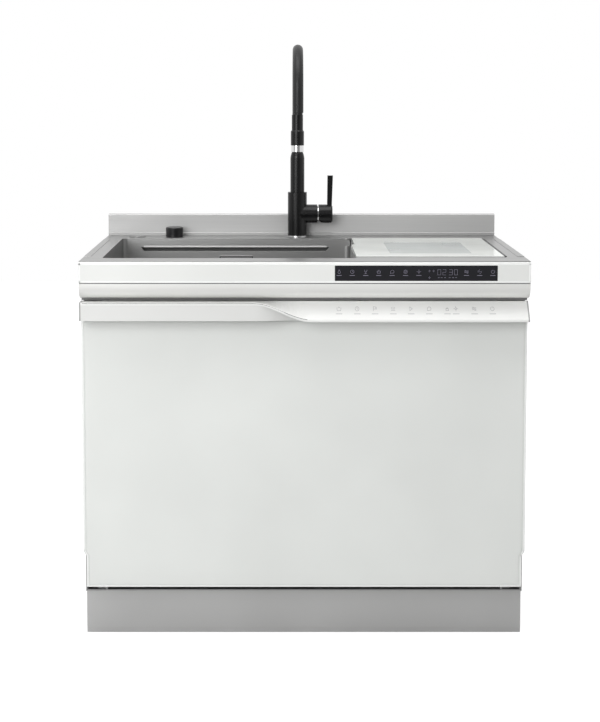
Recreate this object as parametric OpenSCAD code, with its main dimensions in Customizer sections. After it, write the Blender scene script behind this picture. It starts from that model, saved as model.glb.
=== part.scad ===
// Integrated sink and dishwasher unit: a worktop with a bowl, a lidded prep basin and a mixer tap
// over a dishwasher with a drop-down door. Millimetres. X is to the right, -Y to the front, Z up,
// and the origin is on the floor under the middle of the unit.

/* [Cabinet] */
// Overall width of the unit
cab_w = 900; // [880:1:1000]
// Overall depth, from the apron's front to the back of the upstand
cab_d = 600; // [595:1:640]
// Height of the worktop above the floor
worktop_h = 785; // [775:1:850]
// Thickness of the steel deck
deck_t = 3; // [2:0.5:5]
// Thickness of the side, back and flange sheets
sheet_t = 2; // [1.5:0.5:3]
// Height of the upstand along the wall
upstand_h = 50; // [30:1:80]
// Thickness of the upstand
upstand_t = 15; // [10:1:20]
// Height of the plinth
plinth_h = 91; // [85:1:105]
// Setback of the plinth behind the apron's front
plinth_setback = 89; // [80:1:100]
// Radius of a levelling foot
foot_r = 20; // [16:1:26]

/* [Front] */
// Height of the apron panel along the worktop's front
apron_h = 45; // [42:1:55]
// Thickness of the apron panel
apron_t = 3; // [2.5:0.5:4]
// Height of the worktop's edge that shows above the apron
apron_step = 1.5; // [0.5:0.25:2.5]
// Radius of the rounded profile under the apron
bull_r = 31; // [26:0.5:34]
// Gap between that profile and the top of the handle bar
bar_gap = 7; // [5:0.5:12]
// Margin from the unit's right side to the display glass
display_side = 66; // [50:1:100]
// Width of the display glass
display_w = 324; // [280:1:340]
// Height of the display glass
display_h = 31; // [24:1:33]
// Thickness of the display glass
display_t = 1.2; // [0.8:0.2:2]

/* [Handle bar] */
// Height of the handle bar
bar_h = 37; // [30:1:45]
// Reach of the bar in front of the door
bar_reach = 38; // [30:1:39.5]
// Depth of the bar's spine along its back
spine_t = 4; // [3:0.5:6]
// Vertical thickness of the bar's blade
blade_t = 5; // [4:0.5:7]
// Fall of the crease from its left end to its right end
crease_drop = 34; // [26:1:38]
// Left end of the crease
crease_x0 = -100; // [-130:1:-60]
// Run of the crease to the right
crease_run = 112; // [90:1:140]
// Wall of the grip under the blade
grip_t = 4; // [3:0.5:6]
// Thickness of the bar's end caps
cap_t = 3; // [2:0.5:4]

/* [Door] */
// Setback of the door's face behind the apron's front
door_setback = 40; // [39.5:0.5:44]
// Depth of the door's outer pan
door_d = 24; // [22:0.5:26]
// Thickness of the door's sheets
door_t = 1.5; // [1:0.25:2]
// Gap between the plinth and the door's lower edge
door_foot_gap = 21; // [19:0.5:26]
// Step in from the side at the door's lower corners
corner_step = 6; // [3:0.5:10]
// Height of the door's narrowed foot
corner_h = 64; // [50:1:90]
// Height of the hinge pin above the door's lower edge
hinge_rise = 13; // [12:0.5:14]
// Distance of the hinge pin behind the door's face
hinge_back = 15; // [14:0.5:16]
// Radius of the hinge pins
hinge_pin_r = 4; // [3:0.25:5]
// Margin from the unit's side to a door hinge bracket
hinge_side = 44; // [38:1:46]

/* [Tub] */
// Margin from the unit's side to the inside of the tub
tub_side = 50; // [48:1:60]
// Margin from the inside of the tub to the unit's back
tub_rear = 75.2; // [72:0.1:85]
// Drop from the bowl's floor to the tub's ceiling
tub_drop = 65; // [58:1:80]
// Height of the tub's floor above the floor
tub_z = 165; // [162:1:170]
// Thickness of the tub's walls
tub_t = 2; // [1.5:0.25:2.5]
// Depth of the door seal
gasket_d = 9; // [7:0.5:10]
// Gap between a spray arm's tip and the tub's wall
arm_gap = 10; // [5:1:50]
// Thickness of the rack wires
wire = 4; // [3:0.25:5]
// Height of the lower rack
rack_h = 110; // [80:1:130]
// Height of the cutlery tray
tray_h = 40; // [30:1:50]

/* [Sink] */
// Margin from the unit's left side to the bowl
bowl_margin = 40; // [36:1:60]
// Width kept for the lidded basin, to the right of the bowl
lid_bay = 340; // [336:1:380]
// Margin from the apron's front to the bowl
bowl_front = 67; // [64:1:80]
// Margin from the bowl to the unit's back
bowl_rear = 96; // [95:1:120]
// Depth of the bowl, top to bottom
bowl_depth = 200; // [170:1:205]
// Corner radius of the bowl
bowl_r = 12; // [8:1:30]
// Thickness of the bowl's steel
bowl_t = 1.5; // [1:0.25:2]
// Radius of the drain opening
drain_r = 45; // [40:1:50]
// Depth of the prep basin below its ledge
basin_depth = 130; // [100:1:150]
// Drop of the ledge that carries the lid, below the deck
ledge_drop = 17; // [16:0.5:20]
// Width of the ledge round the basin
ledge_w = 14; // [13.5:0.5:20]

/* [Lid] */
// Margin from the unit's right side to the lid
lid_margin = 41; // [37:1:60]
// Width of the dark slot beside the lid
slot_w = 4; // [3.5:0.25:6]
// Thickness of the lid's glass
lid_t = 8; // [6:0.5:8.5]
// Margin from the lid to the unit's back
lid_rear = 83; // [83:1:110]
// Margins of the lid's window
window_left = 72.5; // [60:0.5:90]
window_right = 59.5; // [50:0.5:80]
window_front = 62; // [50:1:80]
window_rear = 119; // [100:1:140]
// Radius of the lid's pivot pins
lid_pin_r = 2.2; // [1.5:0.1:2.5]

/* [Tap] */
// Place of the tap to the right of the middle
tap_x = -10; // [-40:1:20]
// Distance of the tap in front of the wall
tap_back = 45; // [43:1:47]
// Radius of the tap's body
tap_r = 22; // [18:0.5:24]
// Height of the tap's body
tap_h = 103; // [95:1:120]
// Radius of the lower spout tube
spout_r = 16.2; // [14:0.2:18]
// Radius of the spout's neck
neck_r = 11.5; // [9:0.25:12]
// Radius of the spout's arch
arch_r = 95; // [80:1:110]
// Height of the arch's centre above the worktop
arch_h = 333; // [320:1:360]
// Drop of the spout's straight end below the arch's centre
nose_drop = 28; // [10:1:60]
// Radius of the side valve
valve_r = 21.4; // [18:0.2:21.8]
// Height of the side valve's axis above the worktop
valve_h = 53; // [48:0.5:60]
// Size of the bevel under the valve's cap
cap_bevel = 9; // [4:0.5:12]
// Length of the lever
lever_l = 65; // [50:1:80]

/* [Deck controls] */
// Radius of the drain knob
knob_r = 20.2; // [16:0.2:22]
// Height of the drain knob
knob_h = 22; // [16:1:28]
// Margin from the unit's left side to the waste knob
knob_side = 156; // [140:1:170]
// Radius of the air button's ring
button_r = 17.8; // [15:0.2:19]
// Margin from the unit's left side to the air button
button_side = 71; // [66:1:85]

/* [Hidden] */
$fn = 64;

fit = 0.3; // running clearance between moving pieces
hw = cab_w / 2;
front_y = -cab_d / 2;
back_y = cab_d / 2;
deck_z = worktop_h;
deck_under = deck_z - deck_t;
apron_z = deck_z - apron_h;
bull_z = apron_z - bull_r;
bar_top = bull_z - bar_gap;
door_top = bar_top - bar_h;
door_bottom = plinth_h + door_foot_gap;
door_y = front_y + door_setback;
door_back = door_y + door_d;
hinge_y = door_y + hinge_back;
hinge_z = door_bottom + hinge_rise;
liner_back = door_back + door_t;
tub_front = liner_back + fit + gasket_d;
tub_back = back_y - tub_rear;
tub_top = deck_z - bowl_depth - tub_drop;
tub_w = cab_w - 2 * tub_side;
arm_x = tub_w / 4;
arm_reach = arm_x - arm_gap;
hinge_x = hw - hinge_side;
swing_r = norm([liner_back - hinge_y, hinge_rise]);
sides_y = hinge_y + swing_r + 1.2;
base_top = plinth_h + 2 * sheet_t;
base_y = tub_front + 3;
upstand_y = back_y - upstand_t;
sheet_back = back_y - sheet_t;

// bowl, basin and lid
bowl_x0 = -hw + bowl_margin;
bowl_x1 = hw - lid_bay;
bowl_w = bowl_x1 - bowl_x0;
bowl_y0 = front_y + bowl_front;
bowl_y1 = back_y - bowl_rear;
bowl_len = bowl_y1 - bowl_y0;
bowl_z = deck_z - bowl_depth;
flange_h = 30; // height of the tub's front flange above its ceiling
latch_z = (tub_top + flange_h + bowl_z - bowl_t) / 2;
flange_w = 9;
ledge_z = deck_z - ledge_drop;
drain_x = (bowl_x0 + bowl_x1) / 2;
drain_y = (bowl_y0 + bowl_y1) / 2;
lid_x1 = hw - lid_margin;
open_x1 = lid_x1 + slot_w;
lid_gap_front = 8;
lid_gap_back = 7;
open_y0 = bowl_y0 + 16;
lid_y0 = open_y0 + lid_gap_front;
lid_y1 = back_y - lid_rear;
open_y1 = lid_y1 + lid_gap_back;
lid_top = deck_z + 1;
lid_under = lid_top - lid_t;
lid_x0 = bowl_x1 - 3;
lid_x0_rear = bowl_x1 + 4;
lid_axis_y = lid_y1 - lid_t / 2;
lid_axis_z = lid_top - lid_t / 2;
lid_hinge_x0 = bowl_x1 + 7;
basin_x0 = bowl_x1 + ledge_w;
basin_x1 = open_x1 - ledge_w;
basin_y0 = open_y0 + ledge_w;
basin_y1 = open_y1 - ledge_w - 14;
basin_z = ledge_z - basin_depth;
basin_drain = [(basin_x0 + basin_x1) / 2, (basin_y0 + basin_y1) / 2];
window_w = lid_x1 - lid_x0 - window_left - window_right;
window_len = lid_y1 - lid_y0 - window_front - window_rear;
window_x = lid_x1 - window_right - window_w / 2;
window_y = lid_y0 + window_front + window_len / 2;

// tap and deck controls
tap_y = back_y - tap_back;
tap_top = deck_z + tap_h;
valve_z = deck_z + valve_h;
valve_x = tap_x + tap_r + 23.6;
cap_x = valve_x + 3.3;
cap_l = 32;
spout_y = tap_y - 2 * arch_r;
ring_z = tap_top + 93;
collar_z = ring_z + 15;
neck_z = collar_z + 70;
arch_z = deck_z + arch_h;
nose_z = arch_z - nose_drop;
knob_x = -hw + knob_side;
knob_y = back_y - 50;
button_x = -hw + button_side;
button_y = back_y - 55;

// fixing holes in the back panel
wall_hole_x = hw - 105;
wall_hole_r = 4;

// pipes behind the tub
pipe_r = 20;
overflow_r = 9.5;
pipe_y = back_y - 38;
waste_z = bowl_z - 29;
joint_z = basin_z - 26;
outlet_x = drain_x - 110;
outlet_z = 330;

function smooth(u) = let (c = min(max(u, 0), 1)) c * c * (3 - 2 * c);
function crease_z(x) = bar_top - crease_drop * smooth((x - crease_x0) / crease_run);

// A rectangle with round corners, about its middle.
module rrect(w, d, r) {
  square([w - 2 * r, d], center = true);
  square([w, d - 2 * r], center = true);
  for (sx = [-1, 1], sy = [-1, 1])
    translate([sx * (w / 2 - r), sy * (d / 2 - r)]) circle(r);
}

// A box between two values along each axis.
module span(x0, x1, y0, y1, z0, z1) {
  translate([x0, y0, z0]) cube([x1 - x0, y1 - y0, z1 - z0]);
}

// The same box with round upright corners.
module rspan(x0, x1, y0, y1, z0, z1, r) {
  translate([(x0 + x1) / 2, (y0 + y1) / 2, z0])
    linear_extrude(z1 - z0) rrect(x1 - x0, y1 - y0, r);
}

// An outline drawn in Y and Z, carried along X.
module along(x0, x1) {
  translate([x0, 0, 0]) rotate([90, 0, 90]) linear_extrude(x1 - x0) children();
}

// An outline drawn in X and Z, carried along Y.
module depthwise(y0, y1) {
  translate([0, y1, 0]) rotate([90, 0, 0]) linear_extrude(y1 - y0) children();
}

module rod_x(x0, x1, y, z, r) {
  translate([x0, y, z]) rotate([0, 90, 0]) cylinder(r = r, h = x1 - x0);
}

module rod_y(x, y0, y1, z, r) {
  translate([x, y1, z]) rotate([90, 0, 0]) cylinder(r = r, h = y1 - y0);
}

module rod_z(x, y, z0, z1, r) {
  translate([x, y, z0]) cylinder(r = r, h = z1 - z0);
}

// A closed solid through rings of points, with the rings in order along X.
module loft(rings) {
  n = len(rings[0]);
  m = len(rings);
  sides = [
    for (i = [0:m - 2], j = [0:n - 1])
      let (k = (j + 1) % n, a = i * n + j, b = i * n + k, c = a + n, d = b + n)
        each [[a, c, d], [a, d, b]]
  ];
  first = [for (j = [1:n - 2]) [0, j, j + 1]];
  last = [for (j = [1:n - 2]) [(m - 1) * n, (m - 1) * n + j + 1, (m - 1) * n + j]];
  polyhedron(points = [for (ring = rings) each ring], faces = concat(sides, first, last));
}

module mirrored() {
  children();
  mirror([1, 0, 0]) children();
}

// Cabinet

module base_tray() {
  color("silver") {
    difference() {
      span(-hw + sheet_t, hw - sheet_t, base_y, sheet_back, base_top - sheet_t, base_top + 20);
      span(-hw + 2 * sheet_t, hw - 2 * sheet_t, base_y - 1, sheet_back - sheet_t, base_top,
        base_top + 21);
    }
    span(-tub_w / 2 + 20, tub_w / 2 - 20, base_y + 52, base_y + 68, base_top - 0.5, tub_z - tub_t);
    mirrored()
      span(130, hw - 180, tub_back - 20, tub_back - 4, base_top - 0.5, tub_z - tub_t);
  }
}

module levelling_feet() {
  foot_x = hw - 42;
  color("dimgray")
    for (x = [-foot_x, 0, foot_x], y = [base_y + 45, back_y - 35]) {
      rod_z(x, y, 0, 10, foot_r);
      translate([x, y, 9.9]) cylinder(r1 = foot_r * 0.8, r2 = 9, h = 8);
      rod_z(x, y, 9, base_top - sheet_t, 5);
    }
}

module plinth() {
  y = front_y + plinth_setback;
  top = base_top - sheet_t;
  color("silver") {
    span(-hw, hw, y, y + sheet_t, 1, plinth_h);
    span(-hw, hw, y, base_y + 25, plinth_h - sheet_t, plinth_h);
    for (x = [-hw + 80, hw - 100])
      span(x, x + 20, base_y + 5, base_y + 25, plinth_h - 0.5, top);
    for (x = [-hw, hw - sheet_t])
      span(x, x + sheet_t, y, y + 40, 1, plinth_h);
  }
}

module cabinet_sides() {
  color("gainsboro")
    mirrored()
      span(hw - sheet_t, hw, sides_y, sheet_back, base_top - sheet_t, apron_z);
}

module back_panel() {
  color("gainsboro")
    difference() {
      span(-hw, hw, sheet_back, back_y, 175, apron_z);
      rod_y(outlet_x, sheet_back - 1, back_y + 1, outlet_z, pipe_r + 2);
      for (x = [-wall_hole_x, wall_hole_x])
        rod_y(x, sheet_back - 1, back_y + 1, apron_z - 34, wall_hole_r);
    }
}

// The opening in the deck: the bowl's outline joined to the lid's rectangle.
module deck_opening(grow) {
  translate([(bowl_x0 + bowl_x1) / 2, (bowl_y0 + bowl_y1) / 2])
    rrect(bowl_w + 2 * grow, bowl_len + 2 * grow, bowl_r + grow);
  translate([bowl_x1 - 0.5 - grow, open_y0 - grow])
    square([open_x1 - bowl_x1 + 0.5 + 2 * grow, open_y1 - open_y0 + 2 * grow]);
}

module worktop() {
  rim_w = 14;
  rim_t = 0.8;
  flange_y = front_y + apron_t;
  color("lightgray") {
    difference() {
      union() {
        span(-hw, hw, flange_y, back_y, deck_under, deck_z);
        for (s = [-1, 1])
          span(s < 0 ? -hw : hw - rim_w, s < 0 ? -hw + rim_w : hw, front_y + 95, back_y - 119,
            deck_z - 0.5, deck_z + rim_t);
      }
      translate([0, 0, deck_under - 1]) linear_extrude(deck_t + 4) deck_opening(0);
      rod_z(tap_x, tap_y, deck_under - 1, deck_z + 1, 17.5);
      rod_z(knob_x, knob_y, deck_under - 1, deck_z + 1, 8.5);
      rod_z(button_x, button_y, deck_under - 1, deck_z + 1, 14.5);
    }
    for (x = [-hw, hw - sheet_t])
      span(x, x + sheet_t, flange_y, back_y, apron_z, deck_under + 0.5);
    span(-hw + 0.5, hw - 0.5, sheet_back, back_y, apron_z, deck_under + 0.5);
    difference() {
      span(-hw + 0.5, hw - 0.5, flange_y, flange_y + sheet_t, apron_z, deck_under + 0.5);
      span(display_x + 6, display_x + display_w - 6, flange_y - 1, flange_y + sheet_t + 1,
        deck_z - display_h - 2, deck_under - 5);
    }
  }
}

module worktop_frame() {
  x = hw - sheet_t;
  y0 = front_y + 25;
  color("darkgray")
    difference() {
      span(-x, x, y0, sheet_back, deck_under - 30, deck_under);
      span(-x + 20, x - 20, y0 + 20, sheet_back - 14, deck_under - 31, deck_under + 1);
    }
}

module upstand() {
  color("lightgray")
    along(-hw, hw)
      polygon([[upstand_y, deck_z], [upstand_y, deck_z + 4], [upstand_y - 2, deck_z + 4],
        [upstand_y - 2, deck_z + 6], [upstand_y, deck_z + 7], [upstand_y, deck_z + upstand_h - 2],
        [upstand_y + 2, deck_z + upstand_h], [back_y, deck_z + upstand_h], [back_y, deck_z]]);
}

display_x = hw - display_side - display_w;
display_z = deck_z - 8 - display_h;
apron_top = deck_z - apron_step;

module apron_panel() {
  inner_y = front_y + apron_t;
  color("whitesmoke")
    difference() {
      along(-hw, hw)
        polygon([[inner_y, apron_z], [front_y + 1.5, apron_z], [front_y, apron_z + 2],
          [front_y, apron_top - 2], [front_y + 2, apron_top], [inner_y, apron_top]]);
      span(display_x, display_x + display_w, front_y - 1, front_y + display_t, display_z,
        display_z + display_h);
      span(display_x + 6, display_x + display_w - 6, front_y - 1, inner_y + 1, display_z + 6,
        display_z + display_h - 6);
    }
}

module display_glass() {
  color("black")
    span(display_x, display_x + display_w, front_y, front_y + display_t, display_z,
      display_z + display_h);
}

// A quarter round under the apron, with flat legs behind it, as one extruded strip.
module bull_outline(r, leg) {
  intersection() {
    translate([front_y + bull_r, apron_z]) circle(r);
    translate([front_y, bull_z]) square(bull_r);
  }
  translate([front_y + bull_r - 0.1, apron_z - r]) square([leg, r]);
}

module bullnose_profile() {
  wall = 2.4;
  leg = 26;
  color("lightgray") {
    along(-hw, hw)
      difference() {
        bull_outline(bull_r, leg);
        difference() {
          bull_outline(bull_r - wall, leg + 1);
          translate([front_y, apron_z - wall]) square([100, wall + 1]);
        }
      }
    for (x = [-hw, hw - wall]) along(x, x + wall) bull_outline(bull_r - 0.2, leg);
  }
}

// Bowl and its waste

slot_x0 = bowl_x0 + 42;
slot_x1 = bowl_x1 - 47;
slot_z = deck_z - 29;
slot_h = 9;
cover_w = 80;
cover_x = drain_x - cover_w / 2;
cover_z = deck_z - 64;
cover_h = 25;

module sink_bowl() {
  x0 = bowl_x0 - bowl_t;
  x1 = bowl_x1 + bowl_t;
  y0 = bowl_y0 - bowl_t;
  y1 = bowl_y1 + bowl_t;
  color("silver")
    difference() {
      union() {
        rspan(x0, x1, y0, y1, bowl_z - bowl_t, deck_under, bowl_r + bowl_t);
        rspan(x0 - flange_w, x1, y0 - flange_w, y1 + flange_w, deck_under - bowl_t, deck_under,
          bowl_r + bowl_t);
      }
      rspan(bowl_x0, bowl_x1, bowl_y0, bowl_y1, bowl_z, deck_z, bowl_r);
      rod_z(drain_x, drain_y, bowl_z - 10, bowl_z + 1, drain_r);
      span(bowl_x1 - bowl_r, x1 + 1, open_y0 - bowl_t, y1 + flange_w + 1, ledge_z, deck_z);
      depthwise(bowl_y1 - 1, y1 + 1)
        polygon([[slot_x0, slot_z + slot_h], [slot_x0 + 8, slot_z], [slot_x1 - 8, slot_z],
          [slot_x1, slot_z + slot_h]]);
      span(cover_x + 8, cover_x + cover_w - 8, bowl_y1 - 1, y1 + 1, cover_z + 4,
        cover_z + cover_h - 4);
    }
  color("silver")
    span(slot_x0 + 6, slot_x1 - 6, bowl_y1 - 3, bowl_y1 + 0.5, slot_z + slot_h,
      slot_z + slot_h + 3);
}

module overflow_cover() {
  color("silver")
    difference() {
      depthwise(bowl_y1 - 4, bowl_y1)
        translate([cover_x + cover_w / 2, cover_z + cover_h / 2]) rrect(cover_w, cover_h, 5);
      span(cover_x + 6, cover_x + cover_w - 6, bowl_y1 - 2.5, bowl_y1 + 1, cover_z - 1,
        cover_z + cover_h - 4);
    }
}

module overflow_channel() {
  y0 = bowl_y1 + bowl_t;
  y1 = y0 + 20;
  pipe = overflow_r;
  x = drain_x + drain_r + 34;
  y = y1 - pipe;
  z = bowl_z - 16;
  color("dimgray")
    difference() {
      union() {
        span(slot_x0 - 8, slot_x1 + 8, y0, y1, cover_z - 8, slot_z + slot_h + 6);
        rod_z(x, y, z, cover_z - 7, pipe);
        translate([x, y, z]) sphere(pipe);
        rod_y(x, drain_y, y, z, pipe);
        translate([x, drain_y, z]) sphere(pipe);
        rod_x(drain_x + drain_r + 3, x, drain_y, z, pipe);
      }
      span(slot_x0 - 6, slot_x1 + 6, y0 - 1, y1 - 2, cover_z - 6, slot_z + slot_h + 4);
      rod_z(x, y, z, cover_z - 5, pipe - 2);
      translate([x, y, z]) sphere(pipe - 2);
      rod_y(x, drain_y, y, z, pipe - 2);
      translate([x, drain_y, z]) sphere(pipe - 2);
      rod_x(drain_x + drain_r + 2, x, drain_y, z, pipe - 2);
    }
}

module drain_fitting() {
  wall = 3;
  color("silver")
    difference() {
      union() {
        rod_z(drain_x, drain_y, bowl_z, bowl_z + 2, drain_r + 12);
        rod_z(drain_x, drain_y, bowl_z - 48, bowl_z + 1, drain_r - fit);
        rod_z(drain_x, drain_y, bowl_z - bowl_t - 5, bowl_z - bowl_t, drain_r + 10);
        rod_y(drain_x, drain_y + drain_r - 5, drain_y + drain_r + 22, waste_z, pipe_r - 3);
        rod_x(drain_x + drain_r - 5, drain_x + drain_r + 3, drain_y, bowl_z - 16, overflow_r);
      }
      rod_z(drain_x, drain_y, bowl_z - 48 + wall, bowl_z + 3, drain_r - wall);
      rod_y(drain_x, drain_y + drain_r - 8, drain_y + drain_r + 23, waste_z, pipe_r - 6);
      rod_x(drain_x + drain_r - 8, drain_x + drain_r + 4, drain_y, bowl_z - 16, overflow_r - 2);
    }
  color("silver") {
    difference() {
      rod_z(drain_x, drain_y, bowl_z - 46, bowl_z - 20, 9);
      rod_z(drain_x, drain_y, bowl_z - 47, bowl_z - 19, 4 + fit);
    }
    for (a = [0:120:240])
      translate([drain_x, drain_y, 0]) rotate([0, 0, a + 30])
        span(8, drain_r - wall + 0.5, -1.5, 1.5, bowl_z - 40, bowl_z - 22);
  }
}

module drain_plug() {
  z = bowl_z + 2 + fit;
  color("silver") {
    translate([drain_x, drain_y, z])
      rotate_extrude()
        polygon([[0, 0], [drain_r + 3, 0], [drain_r + 3, 1.5], [drain_r - 4, 3], [8, 3.6], [6, 6],
          [0, 7]]);
    rod_z(drain_x, drain_y, bowl_z - 42, z + 1, 4);
  }
}

module siphon_trap() {
  y0 = drain_y + drain_r + 22;
  x0 = outlet_x;
  x1 = drain_x;
  low = outlet_z - 90;
  color("whitesmoke")
    difference() {
      union() {
        rod_y(x1, y0, pipe_y, waste_z, pipe_r);
        rod_z(x1, pipe_y, low, joint_z, pipe_r);
        translate([x1, pipe_y, low]) sphere(pipe_r);
        rod_x(x0, x1, pipe_y, low, pipe_r);
        translate([x0, pipe_y, low]) sphere(pipe_r);
        rod_z(x0, pipe_y, low, outlet_z, pipe_r);
        translate([x0, pipe_y, outlet_z]) sphere(pipe_r);
        rod_y(x0, pipe_y, back_y, outlet_z, pipe_r);
        rod_z(x1, pipe_y, joint_z - 22, joint_z, pipe_r + 3);
      }
      rod_y(x0, back_y - 22, back_y + 1, outlet_z, pipe_r - 3);
    }
}

// Prep basin with the ledge that carries the lid

module prep_basin() {
  left = bowl_x1 + bowl_t;
  floor_t = bowl_t;
  r = 15;
  color("silver")
    difference() {
      union() {
        span(left, open_x1 + bowl_t, open_y0 - bowl_t, open_y1 + bowl_t, ledge_z - bowl_t,
          deck_under);
        rspan(basin_x0 - floor_t, basin_x1 + floor_t, basin_y0 - floor_t, basin_y1 + floor_t,
          basin_z - floor_t, ledge_z - 0.5, r + floor_t);
      }
      span(left - 1, open_x1, open_y0, open_y1, ledge_z, deck_z);
      rspan(basin_x0, basin_x1, basin_y0, basin_y1, basin_z, deck_z, r);
      rod_z(basin_drain[0], basin_drain[1], basin_z - 10, basin_z + 1, drain_r);
    }
}

module prep_waste() {
  x = basin_drain[0];
  y = basin_drain[1];
  wall = 3;
  color("silver")
    difference() {
      union() {
        rod_z(x, y, basin_z, basin_z + 2, drain_r + 10);
        rod_z(x, y, basin_z - 45, basin_z + 1, drain_r - fit);
        rod_y(x, y + drain_r - 5, pipe_y, joint_z, pipe_r);
        translate([x, pipe_y, joint_z]) sphere(pipe_r);
        rod_x(drain_x, x, pipe_y, joint_z + pipe_r, pipe_r);
        rod_z(x, pipe_y, joint_z, joint_z + pipe_r, pipe_r);
        translate([x, pipe_y, joint_z + pipe_r]) sphere(pipe_r);
        translate([drain_x, pipe_y, joint_z + pipe_r]) sphere(pipe_r);
        rod_z(drain_x, pipe_y, joint_z, joint_z + pipe_r, pipe_r);
      }
      rod_z(x, y, basin_z - 45 + wall, basin_z + 3, drain_r - wall);
    }
  color("silver")
    for (a = [0:60:120])
      translate([x, y, basin_z - 3]) rotate([0, 0, a]) span(-drain_r + 2, drain_r - 2, -1.5, 1.5, 0, 3);
}

// Lid

module lid_outline() {
  step_y = (lid_y0 + lid_y1) / 2 + 40;
  polygon([[lid_x0, lid_y0], [lid_x1, lid_y0], [lid_x1, lid_y1 - 12], [lid_x0_rear, lid_y1 - 12],
    [lid_x0_rear, step_y + 7], [lid_x0, step_y]]);
}

module window_outline(grow) {
  translate([window_x, window_y]) rrect(window_w + 2 * grow, window_len + 2 * grow, 6);
}

module lid_glass() {
  color("white")
    translate([0, 0, lid_under])
      linear_extrude(lid_t)
        difference() {
          lid_outline();
          window_outline(0);
        }
}

module lid_window() {
  color("dimgray")
    translate([0, 0, lid_under + 0.5]) linear_extrude(lid_t - 0.6) window_outline(0);
}

module lid_frame() {
  x0 = lid_hinge_x0;
  x1 = lid_x1 - 4;
  z0 = ledge_z + fit;
  rear_y = lid_y1 - 17;
  color("gainsboro") {
    difference() {
      span(x0, x1, lid_y0 + 4, rear_y, z0, lid_under);
      span(x0 + 12, x1 - 12, lid_y0 + 16, rear_y - 12, z0 - 1, lid_under + 1);
    }
    // The rear bar, and its edge that reaches up into the hinge block, so that they join at any height
    span(x0, x1, rear_y - 5, lid_y1 - 8, lid_under - 3, lid_under);
    span(x0, x1, lid_y1 - 11, lid_y1 - 8, lid_under - 3, lid_under + 1);
    along(x0, lid_x1) {
      translate([lid_axis_y, lid_axis_z]) circle(lid_t / 2);
      translate([lid_y1 - 12, lid_under]) square([12 - lid_t / 2, lid_t]);
    }
    rod_x(x0 - 3.6, x0 + 1, lid_axis_y, lid_axis_z, lid_pin_r);
    rod_x(lid_x1 - 1, lid_x1 + slot_w - 0.5, lid_axis_y, lid_axis_z, lid_pin_r);
  }
}

module lid_pivot_blocks() {
  y0 = lid_axis_y - 6;
  color("black")
    for (x = [[bowl_x1 + bowl_t + 0.8, lid_hinge_x0 - fit], [lid_x1 + fit, open_x1]])
      difference() {
        span(x[0], x[1], y0, y0 + 12, ledge_z, deck_z);
        rod_x(x[0] - 1, x[1] + 1, lid_axis_y, lid_axis_z, lid_pin_r + fit);
      }
}

// Tub and what is under it

sump_y = tub_back - 74.8;
riser_r = 8;

module tub() {
  hx = tub_w / 2;
  color("silver")
    difference() {
      union() {
        span(-hx - tub_t, hx + tub_t, tub_front, tub_back + tub_t, tub_z - tub_t, tub_top + tub_t);
        span(-hx - 30, hx + 30, tub_front, tub_front + tub_t, tub_z - 25, tub_top + flange_h);
      }
      span(-hx, hx, tub_front - 1, tub_back, tub_z, tub_top);
      rod_z(0, sump_y, tub_z - tub_t - 1, tub_z + 1, 45);
      for (x = [-arm_x, arm_x]) rod_z(x, 0, tub_z - tub_t - 1, tub_z + 1, riser_r + 2);
    }
}

module tub_gasket() {
  hx = tub_w / 2;
  color("dimgray")
    difference() {
      span(-hx - 14, hx + 14, liner_back + fit, tub_front, tub_z - 14, tub_top + 14);
      span(-hx - 2, hx + 2, liner_back - 1, tub_front + 1, tub_z - 2, tub_top + 2);
    }
}

module sump() {
  top = tub_z - tub_t;
  color("dimgray")
    difference() {
      union() {
        rod_z(0, sump_y, base_top, top, 50);
        rod_z(0, sump_y, top - 4, top, 60);
        rod_x(40, 70, sump_y, base_top + 34, 14);
        rod_x(-70, -40, sump_y, base_top + 30, 11);
      }
      rod_z(0, sump_y, base_top + 4, top + 1, 43);
      rod_x(30, 71, sump_y, base_top + 34, 11);
      rod_x(-71, -30, sump_y, base_top + 30, 8);
    }
}

module filter_cup() {
  color("gray") {
    difference() {
      union() {
        rod_z(0, sump_y, base_top + 12, tub_z, 40);
        rod_z(0, sump_y, tub_z + fit, tub_z + 2, 58);
        rod_z(0, sump_y, tub_z - 1, tub_z + 1, 40);
      }
      rod_z(0, sump_y, base_top + 14, tub_z + 3, 37);
    }
    difference() {
      translate([0, sump_y, 0]) span(-38, 38, -3, 3, tub_z - 12, tub_z + 7);
      translate([0, sump_y, 0]) span(-20, 20, -4, 4, tub_z - 8, tub_z + 2);
    }
  }
}

module spray_manifold() {
  z = tub_z - tub_t - 14;
  color("dimgray")
    difference() {
      union() {
        rod_x(-arm_x, arm_x, 0, z, 12);
        rod_y(arm_x, 0, sump_y - 28, z, 12);
        for (x = [-arm_x, arm_x]) {
          translate([x, 0, z]) sphere(12);
          rod_z(x, 0, z, tub_z + 14, riser_r);
          rod_z(x, 0, tub_z, tub_z + 4, 15);
        }
      }
      for (x = [-arm_x, arm_x]) rod_z(x, 0, z, tub_z + 15, riser_r - 3);
    }
}

module circulation_pump() {
  z = base_top + 34;
  color("slategray") {
    rod_x(70, arm_x, sump_y, z, 27);
    rod_x(arm_x, arm_x + 16, sump_y, z, 15);
    rod_y(arm_x, sump_y - 28, sump_y, tub_z - tub_t - 14, 13);
    for (x = [95, arm_x - 35]) span(x, x + 12, sump_y - 18, sump_y + 18, base_top, z - 10);
  }
}

module drain_pump() {
  z = base_top + 30;
  color("darkslategray") {
    rod_x(-125, -70, sump_y, z, 23);
    rod_y(-100, sump_y, back_y - 30, z, 10);
    span(-115, -85, sump_y - 14, sump_y + 14, base_top, z - 10);
  }
}

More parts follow.
